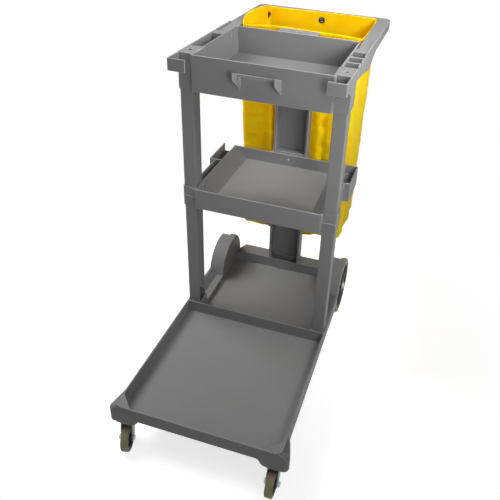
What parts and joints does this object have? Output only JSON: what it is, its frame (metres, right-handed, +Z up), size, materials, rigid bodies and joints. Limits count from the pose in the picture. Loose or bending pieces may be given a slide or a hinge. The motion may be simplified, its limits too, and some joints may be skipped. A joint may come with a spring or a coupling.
{
  "type": "janitor cart",
  "caption": "Tall janitor cart with a front platform, lower deck, middle shelf, top tray, tool slots, U handle frame with a hanging waste bag, swivel front casters and large rear wheels.",
  "frame": {"origin": "on the floor, under the middle of the cart's length and width", "axes": "+Z up, +Y towards the bag and the handle, +X to the right as seen from the front platform"},
  "size_m": [0.502, 1.147, 0.985],
  "materials": {
    "grey_plastic": "lightly grained",
    "yellow_vinyl": "smooth vinyl",
    "tan_rubber": "satin",
    "black_plastic": "satin",
    "zinc_steel": "bright zinc",
    "bright_steel": "bright"
  },
  "bodies": {
    "frame": {"base_platform": "grey_plastic", "front_post_left_lower": "grey_plastic", "front_post_right_lower": "grey_plastic", "front_post_left_upper": "grey_plastic", "front_post_right_upper": "grey_plastic", "rear_post_lower": "grey_plastic", "rear_post_upper": "grey_plastic", "middle_shelf": "grey_plastic", "top_tray": "grey_plastic", "handle_frame": "grey_plastic", "bag": "yellow_vinyl", "bag_pegs": "bright_steel", "bag_eyelets": "bright_steel", "rear_axle": "bright_steel", "axle_caps": "bright_steel", "axle_washers": "bright_steel", "caster_left_plate": "zinc_steel", "caster_left_balls": "bright_steel", "caster_left_kingpin": "bright_steel", "caster_right_plate": "zinc_steel", "caster_right_balls": "bright_steel", "caster_right_kingpin": "bright_steel", "caster_screws": "bright_steel", "tray_screws": "bright_steel", "shelf_screws": "bright_steel", "rail_screws": "bright_steel"},
    "caster_fork_left": {"caster_left_fork": "zinc_steel", "caster_left_bolt": "bright_steel", "caster_left_nut": "bright_steel"},
    "caster_wheel_left": {"caster_left_core": "black_plastic", "caster_left_tread": "tan_rubber"},
    "rear_wheel_left": {"rear_rim_left": "black_plastic", "rear_tyre_left": "tan_rubber"},
    "caster_fork_right": {"caster_right_fork": "zinc_steel", "caster_right_bolt": "bright_steel", "caster_right_nut": "bright_steel"},
    "caster_wheel_right": {"caster_right_core": "black_plastic", "caster_right_tread": "tan_rubber"},
    "rear_wheel_right": {"rear_rim_right": "black_plastic", "rear_tyre_right": "tan_rubber"}
  },
  "joints": [
    {"name": "caster_swivel_left", "type": "hinge", "parent": "frame", "child": "caster_fork_left", "pos_m": [-0.211, -0.5105, 0.09], "axis": [0, 0, 1], "continuous": true},
    {"name": "caster_spin_left", "type": "hinge", "parent": "caster_fork_left", "child": "caster_wheel_left", "pos_m": [-0.20453, -0.53465, 0.038], "axis": [0.9659, 0.2588, 0], "continuous": true},
    {"name": "rear_spin_left", "type": "hinge", "parent": "frame", "child": "rear_wheel_left", "pos_m": [-0.212, 0.2378, 0.099], "axis": [1, 0, 0], "continuous": true},
    {"name": "caster_swivel_right", "type": "hinge", "parent": "frame", "child": "caster_fork_right", "pos_m": [0.211, -0.5105, 0.09], "axis": [0, 0, 1], "continuous": true},
    {"name": "caster_spin_right", "type": "hinge", "parent": "caster_fork_right", "child": "caster_wheel_right", "pos_m": [0.211, -0.5355, 0.038], "axis": [1, 0, 0], "continuous": true},
    {"name": "rear_spin_right", "type": "hinge", "parent": "frame", "child": "rear_wheel_right", "pos_m": [0.212, 0.2378, 0.099], "axis": [1, 0, 0], "continuous": true}
  ]
}
